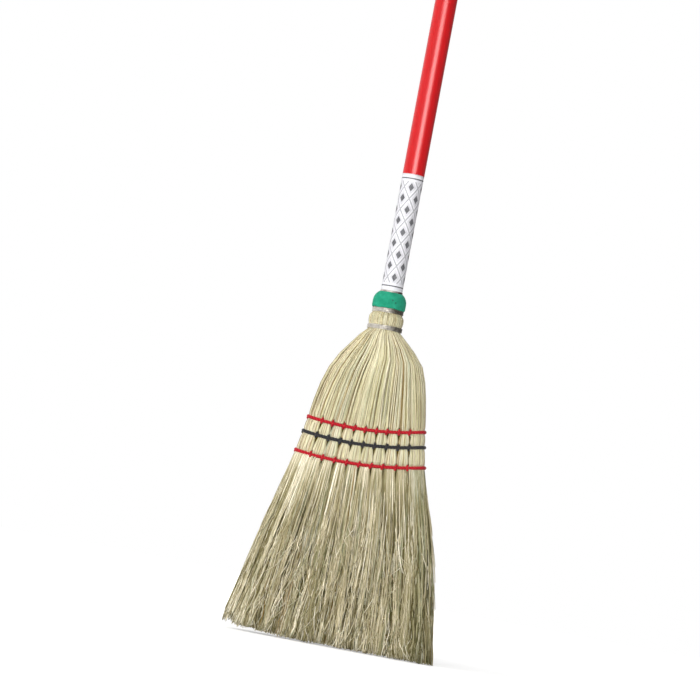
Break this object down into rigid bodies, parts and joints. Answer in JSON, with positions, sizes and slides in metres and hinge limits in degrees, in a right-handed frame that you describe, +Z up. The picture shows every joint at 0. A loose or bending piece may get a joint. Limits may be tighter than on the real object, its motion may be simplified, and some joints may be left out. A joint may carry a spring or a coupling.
{
  "type": "lobby broom",
  "caption": "Corn lobby broom: flat flared corn head, wired under a cloth collar to a straight lacquered wooden handle and sewn across with rows of twine, for sweeping floors.",
  "frame": {"origin": "middle of the cut end of the corn, on the floor that the broom stands on", "axes": "+Z up along the handle, +X to the right of the front face, the front face towards -Y"},
  "size_m": [0.214, 0.0502, 0.965],
  "materials": {
    "red_lacquer": "gloss lacquer",
    "paper": "matte paper",
    "wire": "galvanised, dull",
    "green_velvet": "velvet",
    "tack": "dull",
    "broom_corn": "natural dry stems",
    "red_twine": "twisted twine",
    "black_twine": "twisted twine"
  },
  "bodies": {
    "root": {"handle": "red_lacquer", "label": "paper", "top_wire": "wire", "middle_wire": "wire", "lower_wire": "wire", "inner_wire": "wire", "collar": "green_velvet", "collar_tacks": "tack", "inner_corn": "broom_corn", "left_shoulder_corn": "broom_corn", "right_shoulder_corn": "broom_corn", "front_cover_corn": "broom_corn", "back_cover_corn": "broom_corn", "upper_twine": "red_twine", "middle_twine": "black_twine", "lower_twine": "red_twine"}
  },
  "joints": []
}
